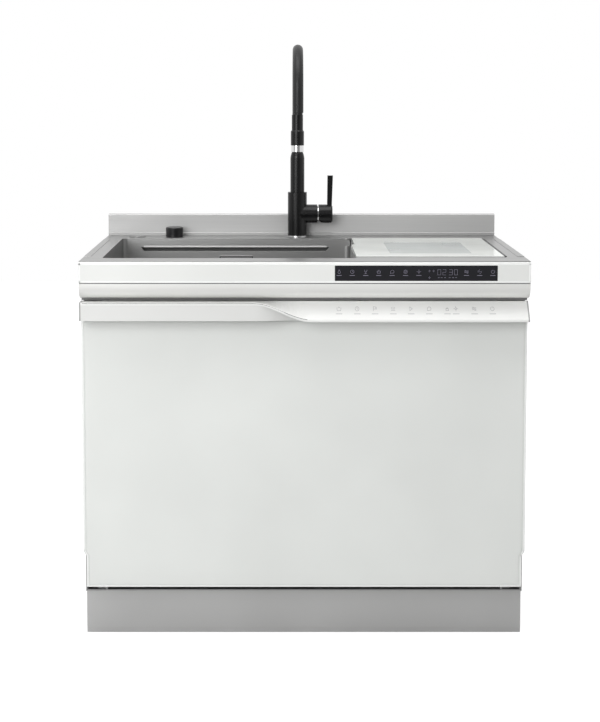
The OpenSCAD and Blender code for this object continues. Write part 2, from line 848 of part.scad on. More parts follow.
module inlet_valve() {
  x = hw - 100;
  z = base_top + 36;
  color("whitesmoke")
    difference() {
      union() {
        span(x - 22, x + 22, back_y - 75, back_y - 35, base_top, z + 20);
        rod_y(x, back_y - 36, back_y - 14, z, 13.2);
      }
      rod_y(x, back_y - 34, back_y - 13, z, 7);
    }
}

control_w = 130;
control_d = 110;
control_h = 50;

module control_box() {
  x = -hw + 30;
  color("dimgray") {
    span(x, x + control_w, back_y - 40 - control_d, back_y - 40, base_top, base_top + control_h);
    rod_y(x + 40, back_y - 41, back_y - 22, base_top + control_h / 2, 8);
  }
}

tray_z = tub_top - tray_h - 24;
rack_z = tub_z + 27;
rack_hx = tub_w / 2 - 14;
rack_y0 = tub_front + 24;
rack_y1 = tub_back - 14;

module rack_rails() {
  color("silver")
    mirrored() {
      x = tub_w / 2;
      difference() {
        span(x - 10, x, rack_y0, rack_y1, tray_z + 8, tray_z + 28);
        span(x - 11, x - 2, rack_y0 - 1, rack_y1 + 1, tray_z + 11, tray_z + 25);
      }
      span(x - 18, x, rack_y0, rack_y1, rack_z - 3 - fit, rack_z - fit);
    }
}

module door_hinge_brackets() {
  y1 = base_y + 45;
  color("silver")
    mirrored()
      difference() {
        union() {
          along(hinge_x, hinge_x + 4) {
            translate([hinge_y, hinge_z]) circle(10);
            polygon([[hinge_y, hinge_z + 10], [y1, hinge_z + 10], [y1, base_top],
              [base_y + sheet_t, base_top], [base_y + sheet_t, hinge_z - 10],
              [hinge_y, hinge_z - 10]]);
          }
          span(hinge_x, hinge_x + 20, base_y + sheet_t + 8, y1, base_top, base_top + 3);
        }
        rod_x(hinge_x - 1, hinge_x + 5, hinge_y, hinge_z, hinge_pin_r + fit);
      }
}

module latch_crossbar() {
  z0 = latch_z - 11;
  z1 = latch_z + 11;
  color("darkgray")
    difference() {
      union() {
        span(-hw + sheet_t, hw - sheet_t, tub_front + 4, tub_front + 24, z0, z0 + 2);
        span(-hw + sheet_t, hw - sheet_t, tub_front + 4, tub_front + 6, z0, z1);
        span(-40, 40, tub_front, tub_front + 24, z0, z1);
      }
      span(-13, 13, tub_front - 1, tub_front + 18, latch_z - 7, latch_z + 7);
    }
}

// Door and handle bar

function door_outline(in) = [
  [-hw + in, door_top - in], [hw - in, door_top - in], [hw - in, door_bottom + corner_h + 10],
  [hw - corner_step - in, door_bottom + corner_h], [hw - corner_step - in, door_bottom + in],
  [-hw + corner_step + in, door_bottom + in], [-hw + corner_step + in, door_bottom + corner_h],
  [-hw + in, door_bottom + corner_h + 10]
];

module door_outer_panel() {
  edge = 5;
  color("whitesmoke")
    difference() {
      depthwise(door_y, door_back) polygon(door_outline(0));
      depthwise(door_y + door_t, door_back + 1) polygon(door_outline(door_t));
      depthwise(door_y - 1, door_y + 0.5)
        difference() {
          polygon(door_outline(edge));
          polygon(door_outline(edge + 1));
        }
      mirrored()
        span(hinge_x - 14, hinge_x + 14, door_y + door_t, door_back + 1, door_bottom - 1,
          door_bottom + door_t + 1);
    }
}

field_d = 6;
disp_x = -20;
disp_rise = 190; // height of the detergent dispenser above the tub's floor
disp_w = 170;
disp_z = tub_z + disp_rise;

module door_inner_liner() {
  hx = tub_w / 2 - 18;
  z0 = tub_z + 14;
  z1 = tub_top - 14;
  color("silver")
    difference() {
      union() {
        depthwise(door_back, liner_back) polygon(door_outline(0.4));
        rspan_y(-hx, hx, door_back, liner_back + field_d, z0, z1, 20);
      }
      rspan_y(-hx + door_t, hx - door_t, door_back - 1, liner_back + field_d - door_t,
        z0 + door_t, z1 - door_t, 18.5);
      mirrored()
        span(hinge_x - 12, hinge_x + 12, door_back - 1, liner_back + 1, door_bottom, hinge_z + 18);
      span(disp_x - disp_w / 2, disp_x + disp_w / 2, door_back - 1, liner_back + field_d + 1, disp_z - 60,
        disp_z + 60);
    }
  color("silver")
    difference() {
      span(-8, 8, liner_back, tub_front + 14, latch_z - 2.5, latch_z + 2.5);
      span(-4, 4, tub_front + 2, tub_front + 9, latch_z - 3.5, latch_z + 3.5);
    }
}

// A box with round corners seen from the front.
module rspan_y(x0, x1, y0, y1, z0, z1, r) {
  depthwise(y0, y1) translate([(x0 + x1) / 2, (z0 + z1) / 2]) rrect(x1 - x0, z1 - z0, r);
}

module dispenser_body() {
  x0 = disp_x - disp_w / 2;
  x1 = disp_x + disp_w / 2;
  y1 = liner_back + field_d;
  color("gainsboro")
    difference() {
      span(x0, x1, door_y + door_t + 1, y1, disp_z - 60, disp_z + 60);
      span(x0 + 14, x0 + 74, y1 - 18, y1 + 1, disp_z - 42, disp_z + 42);
      span(x0 + 8, x1 - 8, y1 - 2.5, y1 + 1, disp_z - 50, disp_z + 50);
      rod_y(x1 - 30, y1 - 6, y1 + 1, disp_z - 28, 15);
    }
}

module dispenser_lid() {
  y1 = liner_back + field_d - 2.5;
  color("lightgray")
    union() {
      span(disp_x - 75, disp_x - 5, y1 + fit, y1 + 2.3, disp_z - 46, disp_z + 46);
      span(disp_x - 50, disp_x - 30, y1 + 2, y1 + 3.4, disp_z - 12, disp_z + 12);
    }
}

module door_hinge_arms() {
  x = hinge_x - 6;
  color("silver")
    mirrored() {
      along(x, x + 3) {
        polygon([[door_y + door_t + 1, hinge_z - 8], [door_back, hinge_z - 8], [door_back, hinge_z + 90],
          [door_y + door_t + 1, hinge_z + 90]]);
      }
      rod_x(x + 1, hinge_x + 7, hinge_y, hinge_z, hinge_pin_r);
      span(x - 20, x + 3, door_back - 2, door_back, hinge_z + 20, hinge_z + 90);
    }
}

blade_y = door_y - bar_reach;
spine_y = door_y - 6;

// The sloping blade: level at the left end, and falling from the spine to the crease further right.
function blade_ring(x) =
  let (z = crease_z(x), c = 1, slope = (bar_top - z) / (spine_y - blade_y)) [
    [x, spine_y, bar_top], [x, blade_y + c, z + c * slope], [x, blade_y, z - c],
    [x, blade_y, z - blade_t], [x, spine_y, bar_top - blade_t]
  ];

// The wall below the blade, which turns back to the spine under the crease.
grip_end = crease_x0 + crease_run + 24;
function grip_y(x) = blade_y
  + (spine_y - blade_y - grip_t) * smooth((x - crease_x0) / (grip_end - crease_x0));
function under_blade(x, y) =
  let (z = crease_z(x)) z - blade_t + (bar_top - z) * (y - blade_y) / (spine_y - blade_y);
function grip_ring(x) =
  let (y = grip_y(x)) [
    [x, y + grip_t, under_blade(x, y + grip_t)], [x, y, under_blade(x, y)], [x, y, door_top],
    [x, y + grip_t, door_top]
  ];

bend_steps = 24;
bend_x = [for (i = [0:bend_steps]) crease_x0 + i * (grip_end - crease_x0) / bend_steps];

module handle_blade() {
  color("lightgray")
    loft([for (x = concat([-hw + cap_t], bend_x, [hw - cap_t])) blade_ring(x)]);
}

module handle_grip() {
  color("whitesmoke")
    loft([for (x = concat([-hw + cap_t], bend_x)) grip_ring(x)]);
}

module handle_spine() {
  top = bar_top - 2.5;
  color("silver") {
    span(-hw + cap_t, hw - cap_t, spine_y, spine_y + spine_t, door_top, top);
    span(-hw + cap_t, hw - cap_t, spine_y + spine_t - 0.5, door_back, door_top, door_top + 3);
    along(-hw, -hw + cap_t)
      difference() {
        translate([blade_y, door_top]) square([spine_y + spine_t - blade_y, bar_h]);
        difference() {
          translate([blade_y - 1, door_top - 1]) square([4, 4]);
          translate([blade_y + 3, door_top + 3]) circle(3);
        }
      }
    along(hw - cap_t, hw)
      polygon([[spine_y + spine_t, bar_top], [spine_y, bar_top],
        [blade_y, bar_top - crease_drop], [blade_y, door_top - 2], [spine_y, door_top - 2],
        [spine_y, door_top], [spine_y + spine_t, door_top]]);
  }
}

// Racks and spray arms

// A flat grid of square wires between two corners, drawn in the plane.
module grid(w, d, nx, ny, t) {
  for (i = [0:nx]) translate([i * (w - t) / nx, 0]) square([t, d]);
  for (i = [0:ny]) translate([0, i * (d - t) / ny]) square([w, t]);
}

// The floor of a wire basket.
module basket_floor(x0, x1, y0, y1, z, nx, ny, t) {
  translate([x0, y0, z]) linear_extrude(t) grid(x1 - x0, y1 - y0, nx, ny, t);
}

// The open walls of a wire basket: rails with uprights.
module basket_walls(x0, x1, y0, y1, z, h, nx, ny, t) {
  for (y = [y0, y1 - t]) translate([x0, y + t, z]) rotate([90, 0, 0])
    linear_extrude(t) grid(x1 - x0, h, nx, 2, t);
  for (x = [x0, x1 - t]) translate([x, y0, z]) rotate([90, 0, 90])
    linear_extrude(t) grid(y1 - y0, h, ny, 2, t);
}

module lower_rack() {
  rows = 10;
  tines = 9;
  step = 34;
  color("darkgray") {
    basket_floor(-rack_hx, rack_hx, rack_y0, rack_y1, rack_z, 16, rows, wire);
    basket_walls(-rack_hx, rack_hx, rack_y0, rack_y1, rack_z, rack_h, 16, rows, wire);
    for (s = [-1, 1], i = [0:tines - 1], row = [2, 7])
      translate([0, rack_y0 + row * (rack_y1 - rack_y0 - wire) / rows, 0])
        span(s * (60 + i * step) - wire / 2, s * (60 + i * step) + wire / 2, 0, wire,
          rack_z + wire / 2, rack_z + 60);
  }
}

module cutlery_tray() {
  x = tub_w / 2 - 12;
  color("gray") basket_floor(-x, x, rack_y0, rack_y1 - 4, tray_z, 20, 12, wire);
}

module tray_sides() {
  x = tub_w / 2 - 12;
  color("gray") {
    basket_walls(-x, x, rack_y0, rack_y1 - 4, tray_z + wire, tray_h - wire, 20, 12, wire);
    mirrored()
      span(x - 1, tub_w / 2 - 2 - fit, rack_y0 + 8, rack_y1 - 12, tray_z + 11 + fit,
        tray_z + 25 - fit);
  }
}

module spray_arm(x) {
  z0 = tub_z + 4 + fit;
  h = 9;
  color("gainsboro")
    difference() {
      translate([x, 0, z0]) {
        linear_extrude(h)
          union() {
            circle(24);
            for (s = [-1, 1]) {
              polygon([[0, -20], [s * (arm_reach - 12), -12], [s * (arm_reach - 12), 12], [0, 20]]);
              translate([s * (arm_reach - 12), 0]) circle(12);
            }
          }
        cylinder(r = 16, h = h + 4);
      }
      rod_z(x, 0, z0 - 1, z0 + h + 5, riser_r + fit);
      for (s = [-1, 1], i = [1:5])
        rod_z(x + s * i * 32, 4 * s, z0 + h - 2, z0 + h + 1, 2.2);
    }
}

module spray_arm_left() { spray_arm(-arm_x); }
module spray_arm_right() { spray_arm(arm_x); }

// Tap

module mixer_base_ring() {
  color("silver")
    difference() {
      rod_z(tap_x, tap_y, deck_z, deck_z + 3, tap_r + 1);
      rod_z(tap_x, tap_y, deck_z - 1, deck_z + 4, 16);
    }
}

module mixer_body() {
  color("dimgray") {
    rod_z(tap_x, tap_y, deck_z + 3, tap_top, tap_r);
    rod_x(tap_x, valve_x, tap_y, valve_z, valve_r);
    rod_x(valve_x - 1, valve_x + 3, tap_y, valve_z, valve_r - 3.4);
    rod_z(tap_x, tap_y, deck_z - 60, deck_z + 4, 16);
    rod_z(tap_x, tap_y, tap_top - 1, tap_top + 20, spout_r - 5);
  }
}

module mixer_cap() {
  x1 = cap_x + cap_l;
  color("dimgray")
    difference() {
      translate([cap_x, tap_y, valve_z]) rotate([0, 90, 0])
        rotate_extrude()
          polygon([[0, 0], [valve_r, 0], [valve_r, cap_l - 3], [valve_r - 3, cap_l], [0, cap_l]]);
      span(x1 - 13, x1 + 1, tap_y - 6 - fit, tap_y + 6 + fit, valve_z + 4, valve_z + valve_r + 1);
      rod_y(x1 - 8, tap_y - 14, tap_y + 14, valve_z + 8, 2 + fit);
      depthwise(tap_y - valve_r, tap_y + valve_r)
        polygon([[cap_x - 1, valve_z - valve_r - 1], [cap_x + cap_bevel, valve_z - valve_r - 1],
          [cap_x - 1, valve_z - valve_r + cap_bevel]]);
    }
}

module mixer_lever() {
  x = cap_x + cap_l - 8;
  z = valve_z + valve_r + 2;
  top = z + lever_l;
  color("dimgray") {
    depthwise(tap_y - 6, tap_y + 6)
      polygon([[x - 3.4, valve_z + 8], [x + 1.6, valve_z + 8], [x + 6.5, valve_z + 16],
        [x + 6.8, z], [x + 9, top], [x - 3.5, top], [x - 4.2, z]]);
    rod_y(x, tap_y - 13.5, tap_y + 13.5, valve_z + 8, 2);
  }
}

module spout_tube() {
  r = spout_r;
  z0 = tap_top + fit;
  color("dimgray")
    difference() {
      translate([tap_x, tap_y, 0])
        rotate_extrude()
          union() {
            polygon([[0, z0], [r, z0], [r, ring_z - 14], [r - 0.8, ring_z - 9], [r - 2.4, ring_z - 3],
              [r - 4, ring_z], [0, ring_z]]);
            polygon([[0, collar_z], [15.3, collar_z], [15.3, collar_z + 32], [13, collar_z + 35],
              [13, neck_z], [0, neck_z]]);
            translate([0, ring_z - 1]) square([8, 18]);
          }
      rod_z(tap_x, tap_y, z0 - 1, tap_top + 21, r - 5 + fit);
    }
}

module spout_ring() {
  color("silver")
    translate([tap_x, tap_y, ring_z])
      difference() {
        cylinder(r = 14.5, h = collar_z - ring_z);
        translate([0, 0, -1]) cylinder(r = 8, h = 20);
      }
}

module spout_neck() {
  color("gray") {
    rod_z(tap_x, tap_y, neck_z, arch_z, neck_r);
    translate([tap_x, tap_y - arch_r, arch_z]) rotate([90, 0, 90])
      rotate_extrude(angle = 180) translate([arch_r, 0]) circle(neck_r);
    rod_z(tap_x, spout_y, nose_z, arch_z, neck_r);
  }
}

module aerator() {
  color("dimgray")
    difference() {
      union() {
        rod_z(tap_x, spout_y, nose_z - 16, nose_z, neck_r);
        rod_z(tap_x, spout_y, nose_z - 20, nose_z - 15, neck_r - 1.5);
      }
      rod_z(tap_x, spout_y, nose_z - 21, nose_z - 12, neck_r - 3);
    }
}

// Controls on the deck

module drain_knob() {
  color("dimgray")
    translate([knob_x, knob_y, deck_z + fit])
      difference() {
        rotate_extrude()
          polygon([[0, 0], [knob_r - 0.8, 0], [knob_r, 0.8], [knob_r, knob_h - 2], [knob_r - 2, knob_h],
            [knob_r - 4, knob_h - 0.6], [0, knob_h - 0.6]]);
        translate([0, 0, -1]) cylinder(r = 6 + fit, h = 15);
      }
}

module under_deck_fittings() {
  nut = deck_under - 8;
  color("silver") {
    difference() {
      union() {
        rod_z(knob_x, knob_y, deck_under - 44, deck_z - 1, 8);
        rod_z(knob_x, knob_y, deck_z - 2, deck_z + 13, 6);
        rod_z(knob_x, knob_y, nut, deck_under, 14);
      }
      rod_z(knob_x, knob_y, deck_under - 45, deck_under - 20, 3);
    }
    difference() {
      rod_z(tap_x, tap_y, nut, deck_under, 26);
      rod_z(tap_x, tap_y, nut - 1, deck_under + 1, 16);
    }
    difference() {
      rod_z(button_x, button_y, nut, deck_under, 18.5);
      rod_z(button_x, button_y, nut - 1, deck_under + 1, 14);
    }
  }
}

module button_ring() {
  color("silver")
    difference() {
      union() {
        rod_z(button_x, button_y, deck_z, deck_z + 1.6, button_r);
        rod_z(button_x, button_y, deck_under - 30, deck_z + 1, 14);
      }
      rod_z(button_x, button_y, deck_under - 26, deck_z + 2, 12);
    }
}

module air_button() {
  z = deck_z + 1;
  color("silver")
    translate([button_x, button_y, 0])
      rotate_extrude()
        polygon([[0, z - 14], [11.6, z - 14], [11.6, z + 0.8], [10, z + 1.6], [6, z + 2.1],
          [0, z + 2.3]]);
}

base_tray();
levelling_feet();
plinth();
cabinet_sides();
back_panel();
worktop();
worktop_frame();
upstand();
apron_panel();
display_glass();
bullnose_profile();
sink_bowl();
overflow_channel();
overflow_cover();
drain_fitting();
siphon_trap();
prep_basin();
prep_waste();
lid_pivot_blocks();
tub();
tub_gasket();
sump();
spray_manifold();
circulation_pump();
drain_pump();
inlet_valve();
control_box();
rack_rails();
door_hinge_brackets();
latch_crossbar();
mixer_body();
mixer_base_ring();
under_deck_fittings();
button_ring();
door_outer_panel();
door_inner_liner();
handle_blade();
handle_grip();
handle_spine();
door_hinge_arms();
dispenser_body();
dispenser_lid();
lower_rack();
cutlery_tray();
tray_sides();
spray_arm_left();
spray_arm_right();
filter_cup();
mixer_cap();
mixer_lever();
spout_tube();
spout_ring();
spout_neck();
aerator();
drain_knob();
drain_plug();
air_button();
lid_glass();
lid_window();
lid_frame();
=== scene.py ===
"""Looks for the integrated sink and dishwasher unit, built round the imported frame. Metres."""

import math

import bpy
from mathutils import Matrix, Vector


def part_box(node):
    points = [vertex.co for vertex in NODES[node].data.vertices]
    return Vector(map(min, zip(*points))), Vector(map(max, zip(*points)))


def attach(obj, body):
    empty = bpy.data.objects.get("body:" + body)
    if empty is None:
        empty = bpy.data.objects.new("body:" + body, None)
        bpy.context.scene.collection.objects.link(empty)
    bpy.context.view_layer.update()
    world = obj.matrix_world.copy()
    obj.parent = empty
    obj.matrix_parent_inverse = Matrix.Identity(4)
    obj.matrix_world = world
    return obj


MM = 0.001
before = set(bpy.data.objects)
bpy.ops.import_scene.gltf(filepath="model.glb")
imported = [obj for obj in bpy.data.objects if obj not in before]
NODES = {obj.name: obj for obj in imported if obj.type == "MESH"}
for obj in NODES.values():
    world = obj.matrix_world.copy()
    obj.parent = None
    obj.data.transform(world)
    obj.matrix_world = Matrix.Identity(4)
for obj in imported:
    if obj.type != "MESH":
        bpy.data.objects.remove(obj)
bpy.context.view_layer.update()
SCENE = bpy.context.scene

# Camera, as worked out from the photograph's perspective; the sensor spans its height
PHOTO_H = 722
SENSOR = 36.0
FOCAL_PX = 1677.3
EYE = Vector((-0.0423, -3.615, 1.1345))
TILT_DEG = 4.976
SHIFT_X = 0.023
SHIFT_Y = -0.18


def add_camera():
    data = bpy.data.cameras.new("camera")
    data.sensor_width = SENSOR
    data.lens = FOCAL_PX * SENSOR / PHOTO_H
    data.shift_x = SHIFT_X
    data.shift_y = SHIFT_Y
    data.clip_end = 50
    cam = bpy.data.objects.new("camera", data)
    cam.location = EYE
    cam.rotation_euler = (math.radians(90 - TILT_DEG), 0, 0)
    SCENE.collection.objects.link(cam)
    SCENE.camera = cam


# Materials

# A noise seldom leaves these limits, so they stand for its darkest and its lightest
NOISE_LOW, NOISE_HIGH = 0.3, 0.7
# Radius of softened edges, m
METAL_EDGE, PAINT_EDGE, POLISHED_EDGE, GLASS_EDGE = 0.0006, 0.0008, 0.0004, 0.0009
# Height of the grain in paint, m
PAINT_GRAIN = 0.000006


def new_material(name):
    mat = bpy.data.materials.new(name)
    mat.use_nodes = True
    nodes, links = mat.node_tree.nodes, mat.node_tree.links
    nodes.clear()
    out = nodes.new("ShaderNodeOutputMaterial")
    shader = nodes.new("ShaderNodeBsdfPrincipled")
    links.new(shader.outputs[0], out.inputs[0])
    return mat, nodes, links, shader


def set_values(shader, **values):
    names = {
        "metal": "Metallic",
        "rough": "Roughness",
        "coat": "Coat Weight",
        "coat_rough": "Coat Roughness",
        "specular": "Specular IOR Level",
    }
    for key, value in values.items():
        shader.inputs[names[key]].default_value = value


def object_coords(nodes, links, scale):
    coord = nodes.new("ShaderNodeTexCoord")
    mapping = nodes.new("ShaderNodeMapping")
    mapping.inputs["Scale"].default_value = scale
    links.new(coord.outputs["Object"], mapping.inputs["Vector"])
    return mapping.outputs["Vector"]


def noise(nodes, links, scale, detail=3.0):
    tex = nodes.new("ShaderNodeTexNoise")
    tex.inputs["Scale"].default_value = 1.0
    tex.inputs["Detail"].default_value = detail
    links.new(object_coords(nodes, links, scale), tex.inputs["Vector"])
    return tex.outputs["Fac"]


def spread(nodes, links, value, low, high):
    """Turns a noise into a value from low to high."""
    node = nodes.new("ShaderNodeMapRange")
    node.inputs["From Min"].default_value = NOISE_LOW
    node.inputs["From Max"].default_value = NOISE_HIGH
    node.inputs["To Min"].default_value = low
    node.inputs["To Max"].default_value = high
    links.new(value, node.inputs["Value"])
    return node.outputs["Result"]


def tint(nodes, links, value, dark, light, shader):
    """Colours a shader from dark to light with a noise."""
    ramp = nodes.new("ShaderNodeValToRGB")
    ramp.color_ramp.elements[0].position = NOISE_LOW
    ramp.color_ramp.elements[0].color = (*dark, 1)
    ramp.color_ramp.elements[1].position = NOISE_HIGH
    ramp.color_ramp.elements[1].color = (*light, 1)
    links.new(value, ramp.inputs["Fac"])
    links.new(ramp.outputs["Color"], shader.inputs["Base Color"])


def rounded(nodes, links, shader, radius, height=None, depth=0.0):
    """Softens sharp edges by radius, with an optional bump on top."""
    bevel = nodes.new("ShaderNodeBevel")
    bevel.samples = 4
    bevel.inputs["Radius"].default_value = radius
    normal = bevel.outputs["Normal"]
    if height is not None:
        bump = nodes.new("ShaderNodeBump")
        bump.inputs["Distance"].default_value = depth
        links.new(height, bump.inputs["Height"])
        links.new(normal, bump.inputs["Normal"])
        normal = bump.outputs["Normal"]
    links.new(normal, shader.inputs["Normal"])


def shade(color, factor):
    return tuple(min(c * factor, 1.0) for c in color)


def brushed(name, color, rough, grain, spread_by=0.05, depth=0.00002):
    """Brushed metal; grain holds the noise's scale along each axis, low along the strokes."""
    mat, nodes, links, shader = new_material(name)
    set_values(shader, metal=1.0)
    fine = noise(nodes, links, grain, detail=4.0)
    broad = noise(nodes, links, (3, 3, 3), detail=2.0)
    tint(nodes, links, broad, shade(color, 0.95), shade(color, 1.05), shader)
    links.new(
        spread(nodes, links, fine, rough - spread_by, rough + spread_by),
        shader.inputs["Roughness"],
    )
    rounded(nodes, links, shader, METAL_EDGE, fine, depth)
    return mat


def painted(name, color, rough, coat=0.0, edge=PAINT_EDGE, metal=0.0, specular=0.5):
    mat, nodes, links, shader = new_material(name)
    set_values(shader, metal=metal, coat=coat, coat_rough=0.08, specular=specular)
    fine = noise(nodes, links, (900, 900, 900), detail=2.0)
    broad = noise(nodes, links, (4, 4, 4), detail=2.0)
    tint(nodes, links, broad, shade(color, 0.97), shade(color, 1.03), shader)
    links.new(spread(nodes, links, broad, rough - 0.03, rough + 0.03), shader.inputs["Roughness"])
    rounded(nodes, links, shader, edge, fine, PAINT_GRAIN)
    return mat


def polished(name, color, rough):
    mat, nodes, links, shader = new_material(name)
    set_values(shader, metal=1.0)
    broad = noise(nodes, links, (30, 30, 30))
    tint(nodes, links, broad, shade(color, 0.98), shade(color, 1.02), shader)
    links.new(spread(nodes, links, broad, rough * 0.8, rough * 1.2), shader.inputs["Roughness"])
    rounded(nodes, links, shader, POLISHED_EDGE)
    return mat


def glassy(name, color, rough=0.04, coat=0.6, specular=0.6):
    mat, nodes, links, shader = new_material(name)
    set_values(shader, coat=coat, coat_rough=0.03, specular=specular)
    broad = noise(nodes, links, (5, 5, 5))
    tint(nodes, links, broad, shade(color, 0.98), shade(color, 1.02), shader)
    links.new(spread(nodes, links, broad, rough, rough * 1.6), shader.inputs["Roughness"])
    rounded(nodes, links, shader, GLASS_EDGE)
    return mat


def make_materials():
    along_x = (6, 900, 900)
    return {
        "deck": brushed("deck_steel", (0.36, 0.36, 0.357), 0.36, along_x),
        "upstand": brushed("upstand_steel", (0.54, 0.54, 0.537), 0.58, along_x),
        "bowl": brushed("bowl_steel", (0.45, 0.45, 0.447), 0.33, (20, 900, 900), spread_by=0.02,
                        depth=0.000003),
        "panel": painted("panel_steel", (0.6, 0.6, 0.595), 0.48, metal=0.75),
        "frame": brushed("frame_steel", (0.45, 0.45, 0.45), 0.45, (300, 300, 300)),
        "tub": brushed("tub_steel", (0.5, 0.5, 0.5), 0.33, (700, 12, 700)),
        "channel": painted("channel_grey", (0.17, 0.17, 0.17), 0.5),
        # Painted shade: a grey strip for the shade in the gap over the bar
        "seal": painted("seal_grey", (0.25, 0.25, 0.25), 0.6),
        "wire": painted("rack_wire", (0.36, 0.37, 0.38), 0.45, edge=0.0015),
        "apron": painted("apron_white", (0.79, 0.8, 0.78), 0.32, coat=0.3),
        "display": glassy("display_black", (0.018, 0.018, 0.021), coat=0.1, specular=0.25),
        "door": painted("door_paint", (0.755, 0.772, 0.75), 0.34, coat=0.25),
        # Painted light: the bar is one white paint; the blade's copy is lighter and the grip's
        # darker to stand in for how the light falls on them
        "blade": painted("blade_white_lit", (0.82, 0.825, 0.81), 0.45, coat=0.08),
        "grip": painted("grip_white_shaded", (0.7, 0.705, 0.69), 0.45, coat=0.08),
        # Painted shade: the spine is dark grey so that the bar's top face and the outlines at its
        # ends look shaded
        "spine_shade": painted("spine_shade", (0.38, 0.38, 0.38), 0.5),
        # Painted shade: the worktop frame is near black so that the gaps it shows through look
        # shaded
        "frame_gap_shade": painted("frame_gap_shade", (0.03, 0.03, 0.03), 0.6),
        # Painted highlight: a brighter white for the lines on the bevelled edges of the apron and
        # the door
        "rim": painted("rim_highlight", (0.92, 0.93, 0.92), 0.3, coat=0.3),
        "bullnose": painted("bullnose_white", (0.9, 0.9, 0.88), 0.36, metal=0.4),
        "black": painted("black_coat", (0.004, 0.004, 0.0043), 0.25, edge=0.001, specular=0.32),
        "rubber": painted("black_rubber", (0.012, 0.012, 0.0125), 0.42, specular=0.35),
        "plastic": painted("black_plastic", (0.012, 0.012, 0.0125), 0.4),
        "knob": glassy("knob_black", (0.006, 0.006, 0.007), 0.25, coat=0.2, specular=0.35),
        "chrome": polished("chrome_trim", (0.72, 0.72, 0.72), 0.07),
        "grey": painted("grey_plastic", (0.5, 0.5, 0.51), 0.45),
        "pump": painted("pump_metal", (0.2, 0.22, 0.24), 0.5),
        "foot": painted("foot_plastic", (0.04, 0.04, 0.04), 0.55),
        "lid": glassy("lid_white", (0.73, 0.755, 0.72), 0.12, coat=0.25, specular=0.5),
        "lid_rim": painted("lid_rim", (0.42, 0.43, 0.42), 0.6),
        "lid_frame": brushed("lid_frame_metal", (0.55, 0.55, 0.55), 0.35, along_x),
        "window": glassy("window_tint", (0.5, 0.54, 0.525), 0.12, coat=0.25, specular=0.5),
        "lit_mark": painted("lit_mark", (0.2, 0.19, 0.25), 0.5),
        "bar_mark": painted("bar_mark", (0.42, 0.42, 0.43), 0.5),
        # Painted shade: dark lines in the gaps at the apron's foot and round the overflow cover
        "gap_shade_line": painted("gap_shade_line", (0.06, 0.06, 0.06), 0.5),
        # Painted shade: a dark line along the bar's crease
        "crease": painted("crease_line", (0.16, 0.16, 0.157), 0.5),
        # Painted highlight: a bright strip on the lip over the overflow slot
        "lip_highlight": painted("lip_highlight_steel", (0.8, 0.8, 0.79), 0.35, metal=0.3),
    }


LOOK = {
    "deck": "worktop button_ring air_button",
    "upstand": "upstand",
    "bullnose": "bullnose_profile",
    "bowl": "sink_bowl prep_basin overflow_cover drain_fitting drain_plug prep_waste",
    "panel": "cabinet_sides back_panel plinth",
    "frame": "base_tray lid_pivot_blocks latch_crossbar door_hinge_brackets door_hinge_arms "
    "rack_rails under_deck_fittings",
    "tub": "tub door_inner_liner",
    "wire": "lower_rack cutlery_tray tray_sides",
    "apron": "apron_panel",
    "display": "display_glass",
    "door": "door_outer_panel",
    "blade": "handle_blade",
    "grip": "handle_grip",
    "spine_shade": "handle_spine",
    "frame_gap_shade": "worktop_frame",
    "black": "mixer_body mixer_cap mixer_lever spout_tube",
    "rubber": "spout_neck aerator tub_gasket",
    "plastic": "siphon_trap sump spray_manifold control_box",
    "channel": "overflow_channel",
    "knob": "drain_knob",
    "chrome": "mixer_base_ring spout_ring",
    "grey": "dispenser_body dispenser_lid spray_arm_left spray_arm_right filter_cup inlet_valve",
    "pump": "circulation_pump drain_pump",
    "foot": "levelling_feet",
    "lid": "lid_glass",
    "lid_frame": "lid_frame",
    "window": "lid_window",
}


def dress(mats):
    for look, names in LOOK.items():
        for name in names.split():
            slots = NODES[name].material_slots
            for slot in slots:
                slot.material = mats[look]
            if not slots:
                NODES[name].data.materials.append(mats[look])


# Pieces of the scene


def add_piece(name, mat, body, points, faces):
    mesh = bpy.data.meshes.new(name)
    mesh.from_pydata(points, [], faces)
    mesh.materials.append(mat)
    piece = bpy.data.objects.new(name, mesh)
    SCENE.collection.objects.link(piece)
    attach(piece, body)
    return piece


def add_block(name, mat, body, lo, hi):
    """A box from lo to hi, in mm."""
    points = [(x * MM, y * MM, z * MM) for x in (lo[0], hi[0]) for y in (lo[1], hi[1])
              for z in (lo[2], hi[2])]
    faces = [(0, 1, 3, 2), (4, 6, 7, 5), (0, 4, 5, 1), (2, 3, 7, 6), (0, 2, 6, 4), (1, 5, 7, 3)]
    return add_piece(name, mat, body, points, faces)


def face(node):
    """A node's box in mm."""
    return [[c / MM for c in corner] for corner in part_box(node)]


# Printed marks: unit drawings made of strokes, placed on the display glass and on the bar


def arc(cx, cy, r, start, end, steps=10):
    turn = [math.radians(start + (end - start) * i / steps) for i in range(steps + 1)]
    return [(cx + r * math.cos(a), cy + r * math.sin(a)) for a in turn]


def ring(cx, cy, r):
    return arc(cx, cy, r, 0, 360, steps=16)


